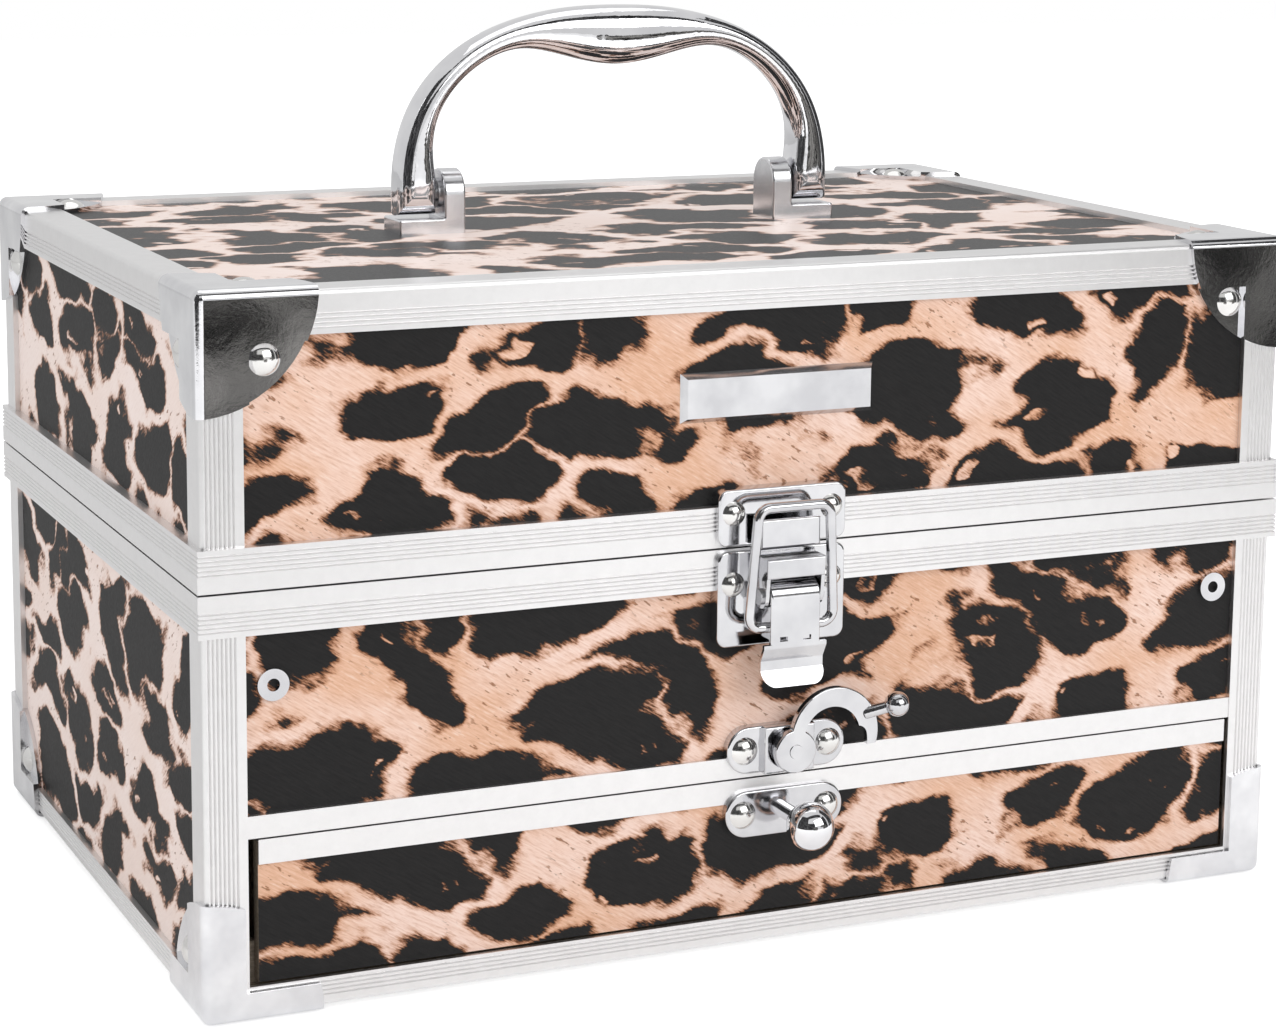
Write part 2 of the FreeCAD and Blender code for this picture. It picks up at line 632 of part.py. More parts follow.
def make_hinges():
    """Two butt hinges behind the seam. A tail on the lid leaf meets the case leaf and stops the lid."""
    y = RIM_Y + HINGE_SEAT + HINGE_RADIUS
    z = SEAM_HEIGHT
    half = HINGE_LENGTH / 2
    split = HINGE_LENGTH / 6
    leaf_y = RIM_Y + HINGE_LEAF_THICKNESS
    clear = HINGE_RADIUS + SEAM_GAP
    bore = rod_x(-half, half, y, z, HINGE_PIN_RADIUS + RUNNING_CLEARANCE)

    def leaf(spans, low, high, root):
        shape = box(-half, half, RIM_Y, leaf_y, low, high)
        for x0, x1 in spans:
            shape = shape.fuse(box(x0, x1, RIM_Y, leaf_y, min(root, z), max(root, z)))
            shape = shape.fuse(rod_x(x0, x1, y, z, HINGE_RADIUS))
        return shape

    outer = [(-half, -split - HINGE_KNUCKLE_GAP / 2), (split + HINGE_KNUCKLE_GAP / 2, half)]
    middle = [(-split + HINGE_KNUCKLE_GAP / 2, split - HINGE_KNUCKLE_GAP / 2)]
    case_leaf = leaf(outer, CASE_TOP - HINGE_LEAF, z - clear, z - clear)
    lid_leaf = leaf(middle, z + clear, LID_BOTTOM + HINGE_LEAF, z + clear)
    thick = HINGE_STOP_THICKNESS / 2
    tail = box(middle[0][0], middle[0][1], y, y + HINGE_STOP_REACH, z - thick, z + thick)
    lid_leaf = lid_leaf.fuse(tail)
    places = [Vector(-HINGE_X, 0, 0), Vector(HINGE_X, 0, 0)]
    case_leaf = case_leaf.cut(bore).removeSplitter()
    lid_leaf = lid_leaf.cut(bore).removeSplitter()
    pin = rod_x(-half, half, y, z, HINGE_PIN_RADIUS)
    NODES["hinge_case_leaves"] = [case_leaf.translated(p) for p in places]
    NODES["hinge_lid_leaves"] = [lid_leaf.translated(p) for p in places]
    NODES["hinge_pins"] = [pin.translated(p) for p in places]


def signed_power(value, power):
    return math.copysign(abs(value) ** power, value)


def handle_section(turn):
    """Closed section of the bow at an angle round its outer curve."""
    half = HANDLE_OUTER_WIDTH / 2
    power = 2 / HANDLE_BOW_POWER
    across = signed_power(math.cos(turn), power)
    up = signed_power(math.sin(turn), power)
    x = half * across
    rise = HANDLE_RISE * up
    steepness = HANDLE_BOW_POWER - 1
    outward = Vector(signed_power(across, steepness) / half, 0, signed_power(up, steepness) / HANDLE_RISE)
    outward.normalize()
    grip = math.exp(-abs(x / HANDLE_GRIP_SPREAD) ** HANDLE_GRIP_POWER)
    leg = math.exp(-((rise / HANDLE_LEG_SPREAD) ** 2))
    thick = HANDLE_WAIST + HANDLE_GRIP_SWELL * grip + HANDLE_LEG_SWELL * leg
    deep = HANDLE_DEPTH + (HANDLE_GRIP_DEPTH - HANDLE_DEPTH) * grip
    square = 2 / (HANDLE_SECTION_POWER + (HANDLE_LEG_SECTION_POWER - HANDLE_SECTION_POWER) * leg)
    centre = Vector(x, HANDLE_SET_BACK, HANDLE_PIVOT_Z + rise) - outward * (thick / 2)
    points = []
    for i in range(16):
        angle = i * math.pi / 8
        along = signed_power(math.cos(angle), square) * thick / 2
        aside = signed_power(math.sin(angle), square) * deep / 2
        points.append(centre + outward * along + Vector(0, aside, 0))
    curve = Part.BSplineCurve()
    curve.interpolate(points, PeriodicFlag=True)
    return Part.Wire(curve.toShape())


def make_handle():
    """Cast bow handle with rounded heels on two brackets, and the collared pins it turns on."""
    outer = HANDLE_OUTER_WIDTH / 2
    leg_inner = outer - HANDLE_WAIST - HANDLE_LEG_SWELL
    post_outer = leg_inner - HANDLE_SIDE_GAP
    post_inner = post_outer - BRACKET_POST
    foot_outer = outer + BRACKET_OVERHANG
    bore_start = post_inner + BRACKET_PIN_COVER
    bore_end = leg_inner + HANDLE_PIN_DEPTH
    y = HANDLE_SET_BACK
    z = HANDLE_PIVOT_Z
    heel = HANDLE_DEPTH / 2
    shares = [i / (HANDLE_SECTION_COUNT - 1) for i in range(HANDLE_SECTION_COUNT)]
    crowding = HANDLE_SECTION_CROWDING / 4
    turns = [math.pi * s - crowding * math.sin(4 * math.pi * s) for s in shares]
    sections = [handle_section(t) for t in turns]
    bow = Part.makeLoft(sections, True, False)
    foot = Part.Face(sections[0]).extrude(UP * -heel).common(rod_x(0, FAR, y, z, heel))
    bore = rod_x(bore_start, bore_end, y, z, HANDLE_PIN_RADIUS + RUNNING_CLEARANCE)
    for side in both_sides(foot):
        bow = bow.fuse(side)
    for side in both_sides(bore):
        bow = bow.cut(side)
    NODES["handle"] = [bow.Solids[0]]

    front = y - BRACKET_DEPTH / 2
    back = y + BRACKET_DEPTH / 2
    seat = LID_BOARD_TOP
    bracket = box(post_inner, foot_outer, front, back, seat, seat + BRACKET_BASE)
    bracket = bracket.fuse(box(post_inner, post_outer, front, back, seat, z))
    bracket = bracket.fuse(rod_x(post_inner, post_outer, y, z, BRACKET_DEPTH / 2)).removeSplitter()
    raised = [e for e in bracket.Edges if e.BoundBox.ZMax > seat + BRACKET_EDGE_ROUND]
    bracket = bracket.makeFillet(BRACKET_EDGE_ROUND, raised).cut(bore)
    NODES["handle_brackets"] = both_sides(bracket)
    pin = rod_x(bore_start, bore_end - RUNNING_CLEARANCE, y, z, HANDLE_PIN_RADIUS)
    collar = rod_x(post_outer, post_outer + HANDLE_COLLAR_LENGTH, y, z, HANDLE_COLLAR_RADIUS)
    NODES["handle_pins"] = both_sides(pin.fuse(collar).removeSplitter())


def make_nameplate():
    """Bare bevelled plate in the middle of the lid front."""
    middle = LID_RIM_TOP + NAMEPLATE_RISE_SHARE * (CASE_HEIGHT - TRIM_LEG - LID_RIM_TOP)

    def outline(inset, y):
        x = NAMEPLATE_LENGTH / 2 - inset
        z = NAMEPLATE_HEIGHT / 2 - inset
        return [Vector(i * x, y, middle + k * z) for i, k in ((-1, -1), (1, -1), (1, 1), (-1, 1))]

    front = -PANEL_Y - NAMEPLATE_THICKNESS
    NODES["nameplate"] = [solid_between(outline(0, -PANEL_Y), outline(NAMEPLATE_BEVEL, front))]


def make_keeper():
    """Keeper plate on the lid, with an upturned catch."""
    half = LATCH_PLATE_WIDTH / 2
    low = LID_BOTTOM + LATCH_SEAM_MARGIN
    plate = soft_plate(-half, half, low, low + KEEPER_HEIGHT, LATCH_FACE, LATCH_PLATE_ROUND)
    plate = plate.cut(box(-FAR, FAR, -RIM_Y, FAR, -FAR, LID_RIM_TOP))
    half = CATCH_WIDTH / 2
    tip = LATCH_FACE - CATCH_REACH
    lip = box(-half, half, tip, tip + CATCH_THICKNESS, low, low + CATCH_HEIGHT)
    plate = plate.fuse(box(-half, half, tip + LATCH_EDGE_ROUND, LATCH_FACE, low, low + CATCH_THICKNESS))
    plate = plate.fuse(soft_front(lip, LATCH_EDGE_ROUND))
    NODES["latch_keeper"] = [plate.removeSplitter()]


def make_latch_base():
    """Base plate on the case, with two ears and a bridge over the lever."""
    half = LATCH_PLATE_WIDTH / 2
    top = CASE_TOP - LATCH_SEAM_MARGIN
    plate = soft_plate(-half, half, top - LATCH_BASE_HEIGHT, top, LATCH_FACE, LATCH_PLATE_ROUND)
    plate = plate.cut(box(-FAR, FAR, -RIM_Y, FAR, CASE_RIM_LOW, FAR))
    crown = top - EAR_THICKNESS
    front = LEVER_Y - LEVER_ROLL - EAR_GAP
    ear_front = front + LATCH_EDGE_ROUND
    bridge_low = LEVER_Z + BRIDGE_RISE
    turns = [math.pi / 2 * i / ROUND_STEP_COUNT for i in range(ROUND_STEP_COUNT + 1)]
    arc = [(LEVER_Y - EAR_RADIUS * math.sin(t), LEVER_Z - EAR_RADIUS * math.cos(t)) for t in turns]
    outline = [(LATCH_FACE, LEVER_Z - EAR_RADIUS)] + arc
    outline += [(ear_front, bridge_low), (ear_front, crown), (LATCH_FACE, crown)]
    for ear in both_sides(side_profile(outline, EAR_INNER, EAR_OUTER)):
        plate = plate.fuse(ear)
    bridge = box(-EAR_OUTER, EAR_OUTER, front, front + EAR_THICKNESS, bridge_low, crown)
    plate = plate.fuse(soft_front(bridge, LATCH_EDGE_ROUND))
    plate = plate.fuse(box(-EAR_OUTER, EAR_OUTER, ear_front, LATCH_FACE, crown - EAR_THICKNESS, crown))
    bore = rod_x(-EAR_OUTER, EAR_OUTER, LEVER_Y, LEVER_Z, LEVER_PIN_RADIUS + RUNNING_CLEARANCE)
    NODES["latch_base"] = [plate.cut(bore).removeSplitter()]

    pin = rod_x(-EAR_OUTER, EAR_OUTER, LEVER_Y, LEVER_Z, LEVER_PIN_RADIUS)
    head_end = EAR_OUTER + LEVER_PIN_HEAD_HEIGHT
    for head in both_sides(rod_x(EAR_OUTER, head_end, LEVER_Y, LEVER_Z, LEVER_PIN_HEAD)):
        pin = pin.fuse(head)
    NODES["latch_pin"] = [pin.removeSplitter()]


def make_lever():
    """Channel lever with a rolled top, two slots and a bent thumb tab."""
    face = LEVER_Y - LEVER_ROLL
    inside = face + LEVER_THICKNESS
    low = LEVER_Z - LEVER_LENGTH
    web = LEVER_HALF - LEVER_THICKNESS
    roll = rod_x(-LEVER_HALF, LEVER_HALF, LEVER_Y, LEVER_Z, LEVER_ROLL)
    roll = roll.makeFillet(LATCH_EDGE_ROUND, [e for e in roll.Edges if e.isClosed()])
    roll = roll.cut(rod_x(-web, web, LEVER_Y, LEVER_Z, LEVER_ROLL - LEVER_THICKNESS))
    roll = roll.cut(box(-web, web, LEVER_Y, FAR, -FAR, FAR))
    roll = roll.cut(box(-web, web, -FAR, FAR, -FAR, LEVER_Z))
    channel = box(-LEVER_HALF, LEVER_HALF, face, LEVER_Y + LEVER_FLANGE, low, LEVER_Z)
    upright = [e for e in channel.Edges if e.BoundBox.YMax < inside and e.BoundBox.XLength < 1]
    channel = channel.makeFillet(LATCH_EDGE_ROUND, upright)
    channel = channel.cut(box(-web, web, inside, FAR, -FAR, FAR))
    channel = channel.cut(box(-FAR, FAR, inside, FAR, -FAR, BAIL_Z - BAIL_WIRE))
    lever = roll.fuse(channel)

    tip = low - TAB_LENGTH
    hollow = face + TAB_SET_BACK
    front = [(face, low + LEVER_THICKNESS), (face, low), (hollow, low - 0.35 * TAB_LENGTH)]
    front += [(hollow, low - 0.6 * TAB_LENGTH), (hollow - TAB_FLARE, tip)]
    back = [(y + LEVER_THICKNESS, z) for y, z in reversed(front)]
    tab = side_profile(front + back, -TAB_WIDTH / 2, TAB_WIDTH / 2)
    shape = rounded_plate(-TAB_WIDTH / 2, TAB_WIDTH / 2, tip, low + 2 * TAB_ROUND, FAR, -FAR, TAB_ROUND)
    lever = lever.fuse(tab.common(shape))

    slot_low = low + LEVER_SLOT_RISE
    for side in (-1, 1):
        x = side * LEVER_SLOT_X
        wide = LEVER_SLOT_WIDTH / 2
        lever = lever.cut(box(x - wide, x + wide, face, inside, slot_low, slot_low + LEVER_SLOT_HEIGHT))
    lever = lever.cut(rod_x(-FAR, FAR, LEVER_Y, LEVER_Z, LEVER_PIN_RADIUS + RUNNING_CLEARANCE))
    lever = lever.cut(rod_x(-FAR, FAR, BAIL_Y, BAIL_Z, BAIL_WIRE / 2 + RUNNING_CLEARANCE))
    NODES["latch_lever"] = [lever.removeSplitter()]


def bent_wire(points, radius, thickness):
    """Round wire along straight runs, with the same bend at each corner."""
    edges = []
    start = points[0]
    for before, corner, after in zip(points, points[1:], points[2:]):
        back = (before - corner).normalize()
        ahead = (after - corner).normalize()
        half_angle = back.getAngle(ahead) / 2
        inward = (back + ahead).normalize()
        reach = radius / math.tan(half_angle)
        middle = corner + inward * (radius / math.sin(half_angle) - radius)
        end = corner + ahead * reach
        edges.append(Part.LineSegment(start, corner + back * reach).toShape())
        edges.append(Part.Arc(corner + back * reach, middle, end).toShape())
        start = end
    edges.append(Part.LineSegment(start, points[-1]).toShape())
    section = Part.Wire(Part.makeCircle(thickness / 2, points[0], points[1] - points[0]))
    return Part.Wire(edges).makePipeShell([section], True, False)


def make_bail():
    """Wire bail hung in the lever, lying just in front of the catch."""
    x = BAIL_WIDTH / 2 - BAIL_WIRE / 2
    bar_x = BAIL_TOP_WIDTH / 2 - BAIL_WIRE / 2
    end = LEVER_HALF - LEVER_THICKNESS - EAR_GAP
    bar_y = LATCH_FACE - CATCH_REACH - BAIL_TO_CATCH - BAIL_WIRE / 2
    bar_z = BAIL_Z + BAIL_RISE
    points = [
        Vector(-end, BAIL_Y, BAIL_Z),
        Vector(-x, BAIL_Y, BAIL_Z),
        Vector(-bar_x, bar_y, bar_z),
        Vector(bar_x, bar_y, bar_z),
        Vector(x, BAIL_Y, BAIL_Z),
        Vector(end, BAIL_Y, BAIL_Z),
    ]
    NODES["latch_bail"] = [bent_wire(points, BAIL_BEND, BAIL_WIRE)]


def make_hook_plate():
    """Hook plate on the rail, with a raised box and the pivot that carries the hook."""
    top = HOOK_PLATE_LOW + CLASP_HEIGHT
    plate = soft_plate(CLASP_LEFT, CLASP_RIGHT, HOOK_PLATE_LOW, top, HOOK_PLATE_FACE, CLASP_ROUND)
    plate = plate.cut(box(-FAR, FAR, -RAIL_FACE, FAR, -FAR, RAIL_TOP))
    half = HOOK_BOX_LENGTH / 2
    raised = box(CLASP_X - half, CLASP_X + half, HOOK_BOX_FACE, HOOK_PLATE_FACE, HOOK_PLATE_LOW, top)
    plate = plate.fuse(soft_front(raised, PLATE_EDGE_ROUND))
    NODES["hook_plate"] = [plate.removeSplitter()]

    spool_face = HOOK_BACK + HOOK_SIDE_GAP
    head_seat = HOOK_FACE - HOOK_SIDE_GAP
    pivot = rod_y(HOOK_PIVOT_X, spool_face, HOOK_BOX_FACE, HOOK_PIVOT_Z, HOOK_SPOOL_RADIUS)
    pivot = pivot.fuse(rod_y(HOOK_PIVOT_X, head_seat, spool_face, HOOK_PIVOT_Z, HOOK_PIN_RADIUS))
    head = dome(HOOK_PIVOT_X, head_seat, HOOK_PIVOT_Z, HOOK_HEAD_RADIUS, HOOK_HEAD_HEIGHT, FRONT)
    NODES["hook_pivot"] = [pivot.fuse(head).removeSplitter()]


def make_hook():
    """Crescent hook with a knob, drawn round the stud and then swung up clear of the drawer."""

    def disc(x, drop, radius):
        return rod_y(HOOK_PIVOT_X + x, HOOK_FACE, HOOK_BACK, HOOK_PIVOT_Z - drop, radius)

    neck = STUD_NECK_RADIUS + STUD_NECK_CLEARANCE
    stud_reach = math.hypot(STUD_X, STUD_DROP)
    mouth = disc(0, 0, stud_reach + neck).cut(disc(0, 0, stud_reach - neck))
    mouth = mouth.common(box(-FAR, HOOK_PIVOT_X + STUD_X, -FAR, FAR, -FAR, HOOK_PIVOT_Z))
    hook = soft_front(disc(HOOK_BOW_X, HOOK_BOW_DROP, HOOK_OUTER_RADIUS), HOOK_EDGE_ROUND)
    hook = hook.cut(disc(HOOK_HOLLOW_X, HOOK_HOLLOW_DROP, HOOK_INNER_RADIUS))
    hook = hook.cut(box(-FAR, HOOK_PIVOT_X + HOOK_TIP_X, -FAR, FAR, -FAR, FAR))
    hook = hook.cut(mouth).cut(disc(STUD_X, STUD_DROP, neck))
    hook = hook.fuse(soft_front(disc(0, 0, HOOK_EYE_RADIUS), HOOK_EDGE_ROUND))
    hook = hook.cut(disc(0, 0, HOOK_PIN_RADIUS + RUNNING_CLEARANCE))

    middle = (HOOK_FACE + HOOK_BACK) / 2
    root_drop = HOOK_BOW_DROP + HOOK_OUTER_RADIUS - 2 * HOOK_STEM_RADIUS
    root = Vector(HOOK_PIVOT_X + HOOK_STEM_X, middle, HOOK_PIVOT_Z - root_drop)
    knob = Vector(HOOK_PIVOT_X + HOOK_KNOB_X, middle - HOOK_KNOB_OUT, HOOK_PIVOT_Z - HOOK_KNOB_DROP)
    stem = Part.makeCylinder(HOOK_STEM_RADIUS, (knob - root).Length, root, knob - root)
    hook = hook.fuse(stem).fuse(Part.makeSphere(HOOK_KNOB_RADIUS, knob))
    hook = hook.removeSplitter()
    hook.rotate(Vector(HOOK_PIVOT_X, 0, HOOK_PIVOT_Z), BACK, -HOOK_SWING)
    NODES["drawer_hook"] = [hook.Solids[0]]


def make_stud():
    """Stud plate on the drawer and its ball stud."""
    low = STUD_PLATE_LOW
    plate = soft_plate(CLASP_LEFT, CLASP_RIGHT, low, low + CLASP_HEIGHT, STUD_PLATE_FACE, CLASP_ROUND)
    strip_low = RAIL_BOTTOM - DRAWER_GAP_TOP - STRIP_HEIGHT
    NODES["stud_plate"] = [plate.cut(box(-FAR, FAR, STRIP_FACE, FAR, strip_low, FAR))]
    x = HOOK_PIVOT_X + STUD_X
    z = HOOK_PIVOT_Z - STUD_DROP
    ball_y = HOOK_FACE - STUD_BALL_GAP - STUD_BALL_RADIUS
    ball = Part.makeSphere(STUD_BALL_RADIUS, Vector(x, ball_y, z))
    neck = rod_y(x, ball_y, STUD_PLATE_FACE, z, STUD_NECK_RADIUS).cut(ball)
    NODES["ball_stud"] = [neck, ball]


def make_plate_rivets():
    """Domed rivets of the latch and clasp plates."""

    def latch_pair(z):
        return both_sides(dome(LATCH_RIVET_X, LATCH_FACE, z, LATCH_RIVET_RADIUS, RIVET_HEIGHT, FRONT))

    def clasp_pair(y, z):
        ends = (CLASP_X - CLASP_RIVET_X, CLASP_X + CLASP_RIVET_X)
        return [dome(x, y, z, CLASP_RIVET_RADIUS, RIVET_HEIGHT, FRONT) for x in ends]

    NODES["keeper_rivets"] = latch_pair(LID_BOTTOM + LATCH_RIVET_TO_SEAM)
    NODES["case_plate_rivets"] = latch_pair(CASE_TOP - LATCH_RIVET_TO_SEAM)
    NODES["case_plate_rivets"] += clasp_pair(HOOK_PLATE_FACE, HOOK_PIVOT_Z)
    NODES["stud_plate_rivets"] = clasp_pair(STUD_PLATE_FACE, STUD_PLATE_LOW + CLASP_HEIGHT / 2)


make_boards()
make_linings()
make_posts()
make_rims()
make_trims()
make_caps()
make_eyelets()
make_drawer()
make_hinges()
make_handle()
make_nameplate()
make_keeper()
make_latch_base()
make_lever()
make_bail()
make_hook_plate()
make_hook()
make_stud()
make_plate_rivets()

os.makedirs("parts", exist_ok=True)
for name, solids in NODES.items():
    shape = solids[0] if len(solids) == 1 else Part.makeCompound(solids)
    valid = all(s.isValid() and len(s.Solids) == 1 for s in solids)
    print(name, len(solids), "solids", round(shape.Volume, 1), "mm3", "valid" if valid else "NOT VALID")
    shape.exportStep("parts/" + name + ".step")
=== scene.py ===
import math

import bpy
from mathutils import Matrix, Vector

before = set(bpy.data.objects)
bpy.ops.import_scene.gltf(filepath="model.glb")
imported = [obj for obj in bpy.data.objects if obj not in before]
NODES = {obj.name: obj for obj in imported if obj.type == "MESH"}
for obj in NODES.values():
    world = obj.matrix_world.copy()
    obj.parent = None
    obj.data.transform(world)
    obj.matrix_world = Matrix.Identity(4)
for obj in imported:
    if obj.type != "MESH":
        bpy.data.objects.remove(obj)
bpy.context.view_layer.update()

MM_PER_M = 1000.0
X, Y, Z = 0, 1, 2
WHITE = (1, 1, 1, 1)

scene = bpy.context.scene
scene.view_settings.view_transform = "Standard"

# Sockets of the Mix node, which has a set for each kind of data
MIX_FACTOR = 0
MIX_NUMBERS = (2, 3)
MIX_COLOURS = (6, 7)
MIX_NUMBER_OUT = 0
MIX_COLOUR_OUT = 2

# Outputs of the Noise node, its middle value, and parts of its range for soft and for clear changes
NOISE_VALUE = 0
NOISE_COLOUR = 1
NOISE_MIDDLE = 0.5
SOFT_LIMITS = (0.3, 0.7)
CLEAR_LIMITS = (0.35, 0.65)


# Node helpers

def srgb(r, g, b):
    """A colour written as in a picture, as the linear one that shaders take."""
    def line(v):
        v /= 255
        return v / 12.92 if v <= 0.04045 else ((v + 0.055) / 1.055) ** 2.4
    return (line(r), line(g), line(b), 1.0)


class Tree:
    """Adds and links the nodes of a material or of the world."""

    def __init__(self, owner, output="ShaderNodeOutputMaterial"):
        owner.use_nodes = True
        self.owner = owner
        self.nt = owner.node_tree
        self.nt.nodes.clear()
        self.out = self.node(output)

    def node(self, kind, **props):
        made = self.nt.nodes.new(kind)
        for key, value in props.items():
            setattr(made, key, value)
        return made

    def link(self, source, target):
        self.nt.links.new(source, target)

    def put(self, socket, value):
        """Link a socket to another one, or give it a plain value."""
        if isinstance(value, bpy.types.NodeSocket):
            self.link(value, socket)
        else:
            socket.default_value = value

    def math(self, operation, a, b):
        made = self.node("ShaderNodeMath", operation=operation)
        self.put(made.inputs[0], a)
        self.put(made.inputs[1], b)
        return made.outputs[0]

    def mix(self, factor, a, b):
        made = self.node("ShaderNodeMix", data_type="RGBA")
        self.put(made.inputs[MIX_FACTOR], factor)
        for socket, colour in zip(MIX_COLOURS, (a, b)):
            self.put(made.inputs[socket], colour)
        return made.outputs[MIX_COLOUR_OUT]

    def choose(self, flag, off, on):
        """One of two numbers, by a flag that is 0 or 1."""
        made = self.node("ShaderNodeMix", data_type="FLOAT")
        self.link(flag, made.inputs[MIX_FACTOR])
        for socket, number in zip(MIX_NUMBERS, (off, on)):
            self.put(made.inputs[socket], number)
        return made.outputs[MIX_NUMBER_OUT]

    def ramp(self, value, stops):
        made = self.node("ShaderNodeValToRGB")
        elements = made.color_ramp.elements
        while len(elements) < len(stops):
            elements.new(0.5)
        for element, (place, colour) in zip(elements, stops):
            element.position = place
            element.color = colour
        self.put(made.inputs[0], value)
        return made.outputs[0]

    def range(self, value, low, high, to_low, to_high, smooth=False):
        kind = "SMOOTHSTEP" if smooth else "LINEAR"
        made = self.node("ShaderNodeMapRange", interpolation_type=kind)
        for socket, item in zip(made.inputs, (value, low, high, to_low, to_high)):
            self.put(socket, item)
        return made.outputs[0]

    def spread(self, noise, to_low, to_high):
        """A noise taken to a range of its own."""
        return self.range(noise, *SOFT_LIMITS, to_low, to_high)

    def axes(self, vector):
        made = self.node("ShaderNodeSeparateXYZ")
        self.link(vector, made.inputs[0])
        return made.outputs

    def position(self):
        """Place on the object in millimetres."""
        coord = self.node("ShaderNodeTexCoord")
        made = self.node("ShaderNodeVectorMath", operation="SCALE")
        self.link(coord.outputs["Object"], made.inputs[0])
        made.inputs["Scale"].default_value = MM_PER_M
        return made.outputs[0]

    def scaled(self, vector, size):
        made = self.node("ShaderNodeVectorMath", operation="MULTIPLY")
        self.link(vector, made.inputs[0])
        made.inputs[1].default_value = size
        return made.outputs[0]

    def added(self, vector, other):
        made = self.node("ShaderNodeVectorMath", operation="ADD")
        self.link(vector, made.inputs[0])
        self.put(made.inputs[1], other)
        return made.outputs[0]

    def noise_node(self, kind, vector, scale, detail, rough):
        made = self.node("ShaderNodeTexNoise", noise_dimensions=kind)
        self.link(vector, made.inputs["Vector"])
        made.inputs["Scale"].default_value = scale
        made.inputs["Detail"].default_value = detail
        made.inputs["Roughness"].default_value = rough
        return made

    def noise(self, vector, scale, detail, rough=0.5):
        return self.noise_node("3D", vector, scale, detail, rough).outputs[NOISE_VALUE]

    def face_noise(self, flat, per_mm, detail, rough=0.5, output=NOISE_VALUE):
        """Noise on a flat face, with a scale of its own along each of its two ways."""
        stretched = self.scaled(flat, (*per_mm, 1.0))
        return self.noise_node("2D", stretched, 1.0, detail, rough).outputs[output]

    def bump(self, height, strength, distance):
        made = self.node("ShaderNodeBump")
        made.inputs["Strength"].default_value = strength
        made.inputs["Distance"].default_value = distance
        self.link(height, made.inputs["Height"])
        return made.outputs[0]

    def surface(self, colour, roughness, metallic=0.0, normal=None, **extra):
        """Principled shader; an extra input is named with _ for each space."""
        made = self.node("ShaderNodeBsdfPrincipled")
        self.put(made.inputs["Base Color"], colour)
        self.put(made.inputs["Roughness"], roughness)
        made.inputs["Metallic"].default_value = metallic
        if normal is not None:
            self.link(normal, made.inputs["Normal"])
        for key, value in extra.items():
            made.inputs[key.replace("_", " ")].default_value = value
        self.link(made.outputs[0], self.out.inputs[0])


def new_material(name):
    return Tree(bpy.data.materials.new(name))


# Raw board

RAW_ROUGHNESS = 0.85
RAW_COLOURS = [
    (0.25, srgb(116, 106, 94)),
    (0.55, srgb(148, 136, 121)),
    (0.80, srgb(172, 160, 144)),
]
RAW_STAIN = srgb(120, 104, 88)
RAW_STAIN_STRENGTH = 0.25
RAW_FIBRE_SCALE = (0.9, 0.9, 2.4)


def raw_board_colour(t, place):
    fibres = t.noise(t.scaled(place, RAW_FIBRE_SCALE), scale=1.0, detail=4.0, rough=0.65)
    patches = t.noise(place, scale=0.06, detail=2.0)
    stain = t.spread(patches, 0.0, RAW_STAIN_STRENGTH)
    return t.mix(stain, t.ramp(fibres, RAW_COLOURS), RAW_STAIN), fibres


def raw_board():
    t = new_material("raw_board")
    colour, fibres = raw_board_colour(t, t.position())
    t.surface(colour, RAW_ROUGHNESS, normal=t.bump(fibres, strength=0.35, distance=0.0006))
    return t.owner


# Printed board: scales are per millimetre, depths are shares of a cell, and the wash values are painted
# light that a washed-out face adds

FUR_LEAN = math.radians(32)
WANDER_SCALE = (0.021, 0.030)
WANDER_MM = (34.0, 26.0)
LOBE_SCALE = (0.075, 0.105)
LOBE_SHARE = (0.58, 0.62)
CELL_SCATTER = 0.8
CORNER_START = 0.28
CORNER_CUT = 0.7
CHANNEL_SCALE = (0.024, 0.036)
CHANNEL_NARROW = -0.015
CHANNEL_WIDE = 0.060
# painted light: how a washed-out face shifts the channels' limits
PAINTED_WASH_NARROW = 0.03
PAINTED_WASH_WIDE = -0.015
FUR_SCALE = (0.45, 2.1)
FUR_LIMITS = (0.25, 0.75)
FUR_DEPTH = 0.055
OPENING_SCALE = (0.075, 0.12)
OPENING_LIMITS = (0.64, 0.74)
OPENING_DEPTH = 0.32
MIDDLE_LIMITS = (0.20, 0.30)

HAIR_SCALE = (0.22, 2.2)
TAN_HAIRS = (0.47, 0.76, 0.0, 0.62)
LIGHT_HAIRS = (0.44, 0.22, 0.0, 0.6)
BLACK_HAIRS = (0.35, 0.75, 0.0, 1.0)
TONE_SCALE = (0.028, 0.040)
DASH_SCALE = (0.32, 0.95)
DASH_LIMITS = (0.64, 0.72)
DASH_STRENGTH = 0.8
DASH_PATCH_SCALE = (0.045, 0.055)
DASH_PATCH_LIMITS = (0.46, 0.58)
GROUND_LIGHT = srgb(246, 216, 202)
GROUND_TAN = srgb(233, 188, 160)
HAIR_TAN = srgb(198, 146, 112)
HAIR_LIGHT = srgb(252, 234, 224)
# painted light: near-white ground of a washed-out face
GROUND_PAINTED_WASH = srgb(254, 242, 238)
DASH_BROWN = srgb(142, 92, 58)
SHADED = (srgb(212, 158, 124), srgb(176, 118, 80))
BROWN = (srgb(150, 94, 58), srgb(92, 56, 34))
BLACK = (srgb(33, 32, 32), srgb(22, 21, 22))
SHADED_DEPTHS = (-0.160, -0.040)
SHADED_STRENGTH = 0.7
# painted light: a washed-out face has a weaker shaded fringe
PAINTED_WASH_SHADED = -0.3
BROWN_DEPTHS = (-0.078, -0.008)
BROWN_STRENGTH = 0.95
BLACK_DEPTHS = (-0.030, 0.024)

PRINT_GRAIN = 1.6
PRINT_ROUGHNESS = (0.39, 0.45)
FACING = 0.5


def wander(t, flat, per_mm, reach, detail):
    """A shift in millimetres that changes slowly over the face."""
    shift = t.face_noise(flat, per_mm, detail, output=NOISE_COLOUR)
    return t.scaled(t.added(shift, (-NOISE_MIDDLE,) * 3), (*reach, 0.0))


